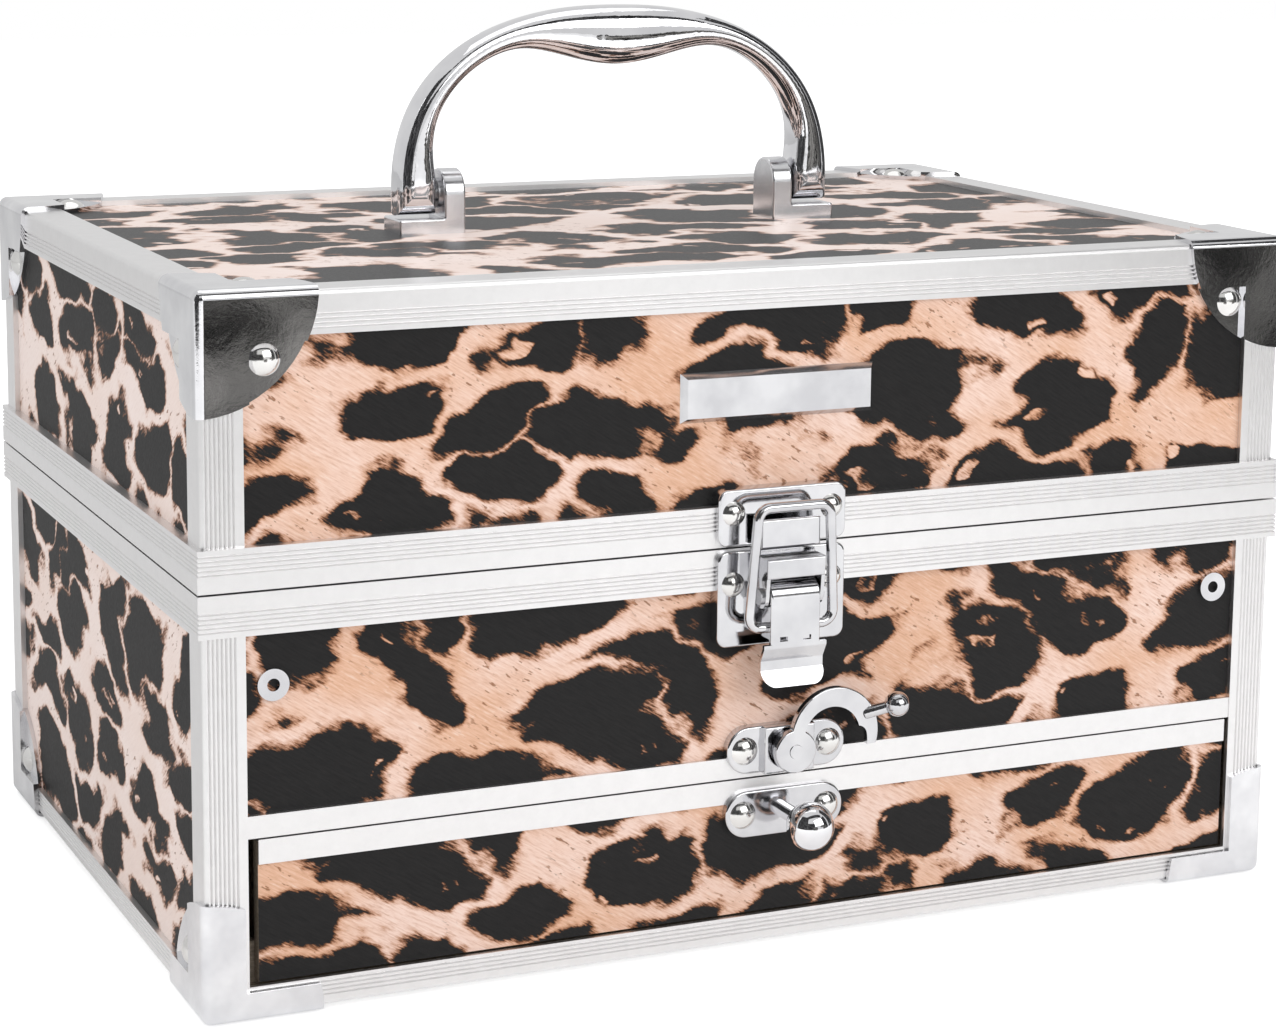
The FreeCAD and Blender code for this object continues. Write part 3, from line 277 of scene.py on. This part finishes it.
def face_places(t, place, long_axis, short_axis, offset):
    """The flat place on a board's face in millimetres, and the same turned along the fur."""
    along = t.axes(place)
    join = t.node("ShaderNodeCombineXYZ")
    t.link(along[long_axis], join.inputs[0])
    t.link(along[short_axis], join.inputs[1])
    flat = t.added(join.outputs[0], (*offset, 0.0))
    turn = t.node("ShaderNodeVectorRotate", rotation_type="Z_AXIS")
    t.link(flat, turn.inputs["Vector"])
    turn.inputs["Angle"].default_value = FUR_LEAN
    return flat, turn.outputs[0]


def cell_distance(t, cell_place, feature):
    made = t.node("ShaderNodeTexVoronoi", voronoi_dimensions="2D", feature=feature)
    made.inputs["Scale"].default_value = 1.0
    made.inputs["Randomness"].default_value = CELL_SCATTER
    t.link(cell_place, made.inputs["Vector"])
    return made.outputs["Distance"]


def spot_depth(t, flat, lean, cell, painted_wash):
    """How deep a place is inside a spot: black above about zero, fringed just below it."""
    lobes = [share * size for share, size in zip(LOBE_SHARE, cell)]
    warped = t.added(flat, wander(t, flat, WANDER_SCALE, WANDER_MM, detail=1.0))
    warped = t.added(warped, wander(t, flat, LOBE_SCALE, lobes, detail=2.0))
    cell_place = t.scaled(warped, (1 / cell[0], 1 / cell[1], 1.0))
    edge = cell_distance(t, cell_place, "DISTANCE_TO_EDGE")
    corner = t.math("SUBTRACT", cell_distance(t, cell_place, "F1"), CORNER_START)
    corner = t.math("MAXIMUM", corner, 0.0)

    # channels between the spots change in width, and fur strokes fray the edges; the painted light wash
    # makes the channels wider and more even
    narrow = CHANNEL_NARROW + PAINTED_WASH_NARROW * painted_wash
    wide = CHANNEL_WIDE + PAINTED_WASH_WIDE * painted_wash
    limit = t.spread(t.face_noise(flat, CHANNEL_SCALE, detail=1.0), narrow, wide)
    fur = t.face_noise(lean, FUR_SCALE, detail=3.0, rough=0.6)
    fur = t.range(fur, *FUR_LIMITS, -FUR_DEPTH, FUR_DEPTH)
    inside = t.math("ADD", t.math("SUBTRACT", edge, limit), fur)
    inside = t.math("SUBTRACT", inside, t.math("MULTIPLY", corner, CORNER_CUT))

    # a few spots open in the middle
    opened = t.face_noise(flat, OPENING_SCALE, detail=1.0)
    opened = t.range(opened, *OPENING_LIMITS, 0.0, OPENING_DEPTH, smooth=True)
    middle = t.range(edge, *MIDDLE_LIMITS, 0.0, 1.0, smooth=True)
    return t.math("SUBTRACT", inside, t.math("MULTIPLY", opened, middle))


def ground_colour(t, flat, lean, hair, painted_wash):
    """Tan ground with hairs, lifted towards white by painted light on washed-out faces, and a few
    patches of brown dashes.
    """
    tone = t.face_noise(flat, TONE_SCALE, detail=2.0)
    dashes = t.face_noise(lean, DASH_SCALE, detail=2.0, rough=0.6)
    dashes = t.range(dashes, *DASH_LIMITS, 0.0, DASH_STRENGTH, smooth=True)
    patches = t.face_noise(flat, DASH_PATCH_SCALE, detail=1.0)
    patches = t.range(patches, *DASH_PATCH_LIMITS, 0.0, 1.0, smooth=True)
    ground = t.mix(t.range(tone, *CLEAR_LIMITS, 0.0, 1.0), GROUND_LIGHT, GROUND_TAN)
    ground = t.mix(t.range(hair, *TAN_HAIRS), ground, HAIR_TAN)
    ground = t.mix(t.range(hair, *LIGHT_HAIRS), ground, HAIR_LIGHT)
    # painted light: the wash lifts the ground towards near white
    ground = t.mix(painted_wash, ground, GROUND_PAINTED_WASH)
    return t.mix(t.math("MULTIPLY", dashes, patches), ground, DASH_BROWN)


def print_colour(t, flat, lean, cell, painted_wash):
    """From the ground through a shaded and a brown fringe to black."""
    spot = spot_depth(t, flat, lean, cell, painted_wash)
    hair = t.face_noise(lean, HAIR_SCALE, detail=4.0, rough=0.7)
    strands = t.spread(hair, 0.0, 1.0)
    black_strands = t.range(hair, *BLACK_HAIRS)
    # painted light: the wash weakens the shaded fringe
    shade = SHADED_STRENGTH + PAINTED_WASH_SHADED * painted_wash
    colour = ground_colour(t, flat, lean, hair, painted_wash)
    for depths, strength, tones, along in (
        (SHADED_DEPTHS, shade, SHADED, strands),
        (BROWN_DEPTHS, BROWN_STRENGTH, BROWN, strands),
        (BLACK_DEPTHS, 1.0, BLACK, black_strands),
    ):
        share = t.range(spot, *depths, 0.0, strength, smooth=True)
        colour = t.mix(share, colour, t.mix(along, *tones))
    return colour


def printed_board(name, axes, face_sign, offset, cell, painted_wash=0.0, shine=0.2):
    """Fur-like leopard print on the outer face, raw board on the cut edges and the back."""
    long_axis, short_axis, face_axis = axes
    t = new_material(name)
    place = t.position()
    flat, lean = face_places(t, place, long_axis, short_axis, offset)
    board, _ = raw_board_colour(t, place)
    coord = t.node("ShaderNodeTexCoord")
    facing = t.math("MULTIPLY", t.axes(coord.outputs["Normal"])[face_axis], face_sign)
    front = t.math("GREATER_THAN", facing, FACING)
    colour = t.mix(front, board, print_colour(t, flat, lean, cell, painted_wash))
    grain = t.noise(place, PRINT_GRAIN, detail=3.0, rough=0.6)
    smoother = t.spread(grain, *(value - RAW_ROUGHNESS for value in PRINT_ROUGHNESS))
    roughness = t.math("ADD", t.math("MULTIPLY", front, smoother), RAW_ROUGHNESS)
    normal = t.bump(grain, strength=0.10, distance=0.0004)
    t.surface(colour, roughness, normal=normal, Specular_IOR_Level=shine)
    return t.owner


# Metals and felt

METAL = 1.0
SPECK_WEAR = 0.5
SPECK_HEIGHT = 0.2
STEEL_LINE_SCALE = (0.15, 3.0, 3.0)


def aluminium():
    t = new_material("edging_aluminium")
    place = t.position()
    grain = t.noise(place, scale=0.35, detail=5.0, rough=0.7)
    speck = t.noise(place, scale=2.2, detail=3.0, rough=0.6)
    colour = t.mix(t.spread(grain, 0.0, 1.0), srgb(238, 237, 237), srgb(233, 232, 232))
    roughness = t.spread(speck, 0.34, 0.40)
    t.surface(colour, roughness, METAL, t.bump(speck, strength=0.02, distance=0.0002))
    return t.owner


def plated(name, light, dark, roughness, waves):
    """Plating with cloudy tone and gloss, and waves in its reflections."""
    t = new_material(name)
    place = t.position()
    cloud = t.noise(place, scale=0.09, detail=3.0, rough=0.6)
    speck = t.noise(place, scale=1.4, detail=4.0, rough=0.65)
    colour = t.mix(t.range(cloud, *CLEAR_LIMITS, 0.0, 1.0), light, dark)
    speck_wear = t.math("MULTIPLY", speck, SPECK_WEAR)
    wear = t.math("ADD", speck_wear, t.math("MULTIPLY", cloud, 1 - SPECK_WEAR))
    gloss = t.range(wear, *CLEAR_LIMITS, *roughness)
    height = t.math("ADD", cloud, t.math("MULTIPLY", speck, SPECK_HEIGHT))
    t.surface(colour, gloss, METAL, t.bump(height, strength=waves, distance=0.0006))
    return t.owner


def steel():
    t = new_material("hinge_steel")
    place = t.scaled(t.position(), STEEL_LINE_SCALE)
    lines = t.noise(place, scale=1.0, detail=4.0, rough=0.7)
    colour = t.mix(t.spread(lines, 0.0, 1.0), srgb(205, 205, 207), srgb(178, 178, 181))
    roughness = t.spread(lines, 0.24, 0.38)
    t.surface(colour, roughness, METAL, t.bump(lines, strength=0.12, distance=0.0003))
    return t.owner


def felt():
    t = new_material("lining_felt")
    place = t.position()
    nap = t.noise(place, scale=1.8, detail=5.0, rough=0.75)
    patches = t.noise(place, scale=0.05, detail=2.0)
    colour = t.ramp(nap, list(zip(SOFT_LIMITS, (srgb(18, 18, 20), srgb(52, 51, 54)))))
    colour = t.mix(t.range(patches, *CLEAR_LIMITS, 0.0, 0.3), colour, srgb(62, 60, 63))
    normal = t.bump(nap, strength=0.6, distance=0.0008)
    t.surface(colour, roughness=0.95, normal=normal, Sheen_Weight=0.35, Sheen_Roughness=0.6)
    return t.owner


# Materials on the pieces

def paint(material, *names):
    for name in names:
        slots = NODES[name].data.materials
        slots.clear()
        slots.append(material)


# Lighter and darker tone of each plating
CHROME_TONES = (srgb(236, 236, 238), srgb(222, 222, 225))
BRIGHT_TONES = (srgb(232, 232, 234), srgb(214, 214, 217))
FITTING_TONES = (srgb(212, 212, 214), srgb(196, 196, 199))
PLATE_TONES = (srgb(204, 204, 206), srgb(188, 188, 191))
NICKEL_TONES = (srgb(234, 233, 231), srgb(216, 215, 213))

RAW = raw_board()
ALUMINIUM = aluminium()
CHROME = plated("chrome", *CHROME_TONES, roughness=(0.025, 0.06), waves=0.02)
CAP = plated("cap_chrome", *BRIGHT_TONES, roughness=(0.03, 0.06), waves=0.05)
FITTING = plated("fitting_chrome", *FITTING_TONES, roughness=(0.06, 0.12), waves=0.03)
SATIN = plated("satin_chrome", *BRIGHT_TONES, roughness=(0.16, 0.26), waves=0.03)
PLATE = plated("nameplate_chrome", *PLATE_TONES, roughness=(0.08, 0.16), waves=0.05)
NICKEL = plated("bright_nickel", *NICKEL_TONES, roughness=(0.10, 0.18), waves=0.02)
STEEL = steel()
FELT = felt()

# Width and height of a spot's cell in millimetres, how much painted light washes a face out, and how
# shiny a face is
WIDE = (29.0, 19.0)
TALL = (30.0, 17.0)
TOP = (34.0, 24.0)
# painted light: the sides are washed paler in place of more light on them, and the top in place of a
# grazing reflection
SIDE_LOOK = {"painted_wash": 0.72, "shine": 0.07}
TOP_LOOK = {"painted_wash": 0.7, "shine": 0.32}

# The axes along a board's face and out of it, and which way it faces
FRONT = ((X, Z, Y), -1.0)
BACK = ((X, Z, Y), 1.0)
LEFT = ((Y, Z, X), -1.0)
RIGHT = ((Y, Z, X), 1.0)
UP = ((X, Y, Z), 1.0)

# The offset is where a print starts in the pattern, in millimetres
for name, side, offset, cell, look, boards in (
    ("print_lid_front", FRONT, (11.0, 4.0), WIDE, {}, ["lid_front_board"]),
    ("print_case_front", FRONT, (53.0, 17.0), WIDE, {}, ["case_front_board"]),
    ("print_drawer", FRONT, (97.0, 41.0), WIDE, {}, ["drawer_front"]),
    ("print_case_back", BACK, (131.0, 87.0), WIDE, {}, ["case_back_board"]),
    ("print_lid_back", BACK, (131.0, 87.0), WIDE, {}, ["lid_back_board"]),
    ("print_left", LEFT, (171.0, 23.0), TALL, SIDE_LOOK, ["case_left_board", "lid_left_board"]),
    ("print_right", RIGHT, (213.0, 61.0), TALL, SIDE_LOOK, ["case_right_board", "lid_right_board"]),
    ("print_lid_top", UP, (29.0, 143.0), TOP, TOP_LOOK, ["lid_top_board"]),
):
    paint(printed_board(name, *side, offset, cell, **look), *boards)

paint(RAW, "case_bottom_board", "case_shelf", "drawer_walls", "drawer_bottom", "drawer_runners")
paint(ALUMINIUM, "drawer_rail", "drawer_strip", "case_posts", "lid_posts")
for part in ("case_rim", "lid_rim", "lid_trim", "bottom_trim"):
    paint(ALUMINIUM, part + "_front", part + "_back", part + "_sides")
paint(SATIN, "base_corners", "handle_brackets")
paint(PLATE, "nameplate")
paint(CAP, "lid_corners")
paint(CHROME, "handle", "ball_stud")
paint(FITTING, "latch_keeper", "latch_base", "latch_lever", "latch_bail")
paint(FITTING, "hook_plate", "hook_pivot", "drawer_hook", "stud_plate", "front_eyelets")
paint(NICKEL, "lid_corner_rivets_left", "lid_corner_rivets_right", "base_corner_rivets_left")
paint(NICKEL, "base_corner_rivets_right", "keeper_rivets", "case_plate_rivets", "stud_plate_rivets")
paint(STEEL, "hinge_case_leaves", "hinge_lid_leaves", "hinge_pins", "handle_pins", "latch_pin")
paint(FELT, "case_lining", "lid_lining")


# Camera at the photograph's view

SENSOR_MM = 36.0
LENS_MM = 86.512
CAMERA_SHIFT = -0.1188
CAMERA_PLACE = (-0.28191, -0.64345, 0.23004)
CAMERA_DEGREES = (80.467, -0.552, -23.954)

camera_data = bpy.data.cameras.new("camera")
camera_data.sensor_width = SENSOR_MM
camera_data.sensor_fit = "HORIZONTAL"
camera_data.lens = LENS_MM
camera_data.shift_y = CAMERA_SHIFT
camera = bpy.data.objects.new("camera", camera_data)
camera.location = CAMERA_PLACE
camera.rotation_euler = [math.radians(angle) for angle in CAMERA_DEGREES]
scene.collection.objects.link(camera)
scene.camera = camera


# Floor and world: the floor's glow changes with the distance from the middle and from front to back

FLOOR_SIZE = 6.0
FLOOR_GAP = 0.0004
FLOOR_GREY = (0.82, 0.82, 0.82, 1)
NEAR_MM = 260.0
FAR_MM = 620.0
SEEN_NEAR = 0.54
SEEN_FAR = 0.80
FRONT_MM = -150.0
BEHIND_MM = 100.0
MIRRORED_FRONT = 0.40
WORLD_LIGHT = 0.72
WORLD_MIRRORED = 0.75
WORLD_SEEN = 1.0


def seen_level(t, hidden, mirrored, seen):
    """Level for rays that only light the scene, for mirror rays, and for camera and see-through rays."""
    path = t.node("ShaderNodeLightPath")
    level = t.choose(path.outputs["Is Glossy Ray"], hidden, mirrored)
    level = t.choose(path.outputs["Is Transmission Ray"], level, seen)
    return t.choose(path.outputs["Is Camera Ray"], level, seen)


def plane(name, size_x, size_y, location, rotation, material):
    mesh = bpy.data.meshes.new(name)
    x, y = size_x / 2, size_y / 2
    mesh.from_pydata([(-x, -y, 0), (x, -y, 0), (x, y, 0), (-x, y, 0)], [], [(0, 1, 2, 3)])
    mesh.materials.append(material)
    made = bpy.data.objects.new(name, mesh)
    made.location = location
    made.rotation_euler = rotation
    scene.collection.objects.link(made)
    return made


def floor_white():
    """Pale floor that takes the shadow, and fades to white away from the case."""
    t = new_material("floor_white")
    diffuse = t.node("ShaderNodeBsdfDiffuse")
    diffuse.inputs[0].default_value = FLOOR_GREY
    glow = t.node("ShaderNodeEmission")
    glow.inputs[0].default_value = WHITE
    place = t.position()
    length = t.node("ShaderNodeVectorMath", operation="LENGTH")
    t.link(place, length.inputs[0])
    seen = t.range(length.outputs["Value"], NEAR_MM, FAR_MM, SEEN_NEAR, SEEN_FAR, smooth=True)
    mirrored = t.range(t.axes(place)[Y], FRONT_MM, BEHIND_MM, MIRRORED_FRONT, 0.0, smooth=True)
    t.link(seen_level(t, 0.0, mirrored, seen), glow.inputs[1])
    both = t.node("ShaderNodeAddShader")
    t.link(diffuse.outputs[0], both.inputs[0])
    t.link(glow.outputs[0], both.inputs[1])
    t.link(both.outputs[0], t.out.inputs[0])
    return t.owner


plane("floor", FLOOR_SIZE, FLOOR_SIZE, (0, 0, -FLOOR_GAP), (0, 0, 0), floor_white())

scene.world = bpy.data.worlds.new("studio")
sky = Tree(scene.world, "ShaderNodeOutputWorld")
back = sky.node("ShaderNodeBackground")
back.inputs[0].default_value = WHITE
sky.link(seen_level(sky, WORLD_LIGHT, WORLD_MIRRORED, WORLD_SEEN), back.inputs[1])
sky.link(back.outputs[0], sky.out.inputs[0])


# Soft lamps, in metres and watts

def lamp(name, location, target, size, watts):
    data = bpy.data.lights.new(name, "AREA")
    data.shape = "RECTANGLE"
    data.size, data.size_y = size
    data.energy = watts
    made = bpy.data.objects.new(name, data)
    made.location = location
    aim = Vector(target) - Vector(location)
    made.rotation_euler = aim.to_track_quat("-Z", "Y").to_euler()
    scene.collection.objects.link(made)


lamp("key", (0.45, -1.25, 0.75), target=(0, 0, 0.08), size=(1.1, 0.7), watts=6.8)
lamp("fill", (-1.3, -0.5, 0.8), target=(0, 0, 0.08), size=(0.8, 0.8), watts=3.2)
lamp("top", (0.1, 0.3, 1.5), target=(0, 0, 0.1), size=(1.2, 1.0), watts=2.6)


# Dark studio cards that show in reflections only: size and place in metres, tilt and turn in degrees

SMOOTH_STOPS = [(0.45, (0.020, 0.020, 0.021, 1)), (0.75, (0.22, 0.22, 0.225, 1))]
UNEVEN_STOPS = [(0.42, (0.012, 0.012, 0.012, 1)), (0.64, (0.40, 0.39, 0.37, 1))]
UPRIGHT = 90


def dark_card(name, stops, scale, detail):
    t = new_material(name)
    dark = t.node("ShaderNodeBsdfDiffuse")
    t.link(t.ramp(t.noise(t.position(), scale, detail), stops), dark.inputs[0])
    t.link(dark.outputs[0], t.out.inputs[0])
    return t.owner


SMOOTH_CARD = dark_card("card_dark", SMOOTH_STOPS, scale=0.012, detail=1.0)
UNEVEN_CARD = dark_card("card_uneven", UNEVEN_STOPS, scale=0.034, detail=2.0)
for name, material, size, location, tilt, turn in (
    ("card_left", UNEVEN_CARD, (0.15, 0.11), (-0.005, -0.53, 0.060), UPRIGHT, 0),
    ("card_right", UNEVEN_CARD, (0.24, 0.16), (0.46, -0.53, 0.085), UPRIGHT, 0),
    ("card_middle", UNEVEN_CARD, (0.16, 0.065), (0.28, -0.53, 0.1225), UPRIGHT, 0),
    ("card_high", SMOOTH_CARD, (1.2, 0.22), (0.0, -0.55, 0.85), 40, 0),
    ("card_side_left", SMOOTH_CARD, (0.9, 1.5), (-0.85, -0.50, 0.65), UPRIGHT, -60),
    ("card_side_right", SMOOTH_CARD, (1.0, 1.5), (0.95, 0.12, 0.65), UPRIGHT, 83),
    ("card_front_right", SMOOTH_CARD, (0.40, 0.9), (0.80, -0.66, 0.45), UPRIGHT, 50),
    ("card_behind_camera", SMOOTH_CARD, (0.66, 0.60), (-0.374, -1.087, 0.301), UPRIGHT, -19),
):
    rotation = (math.radians(tilt), 0, math.radians(turn))
    card = plane(name, *size, location, rotation, material)
    card.visible_camera = False
    card.visible_diffuse = False
    card.visible_shadow = False
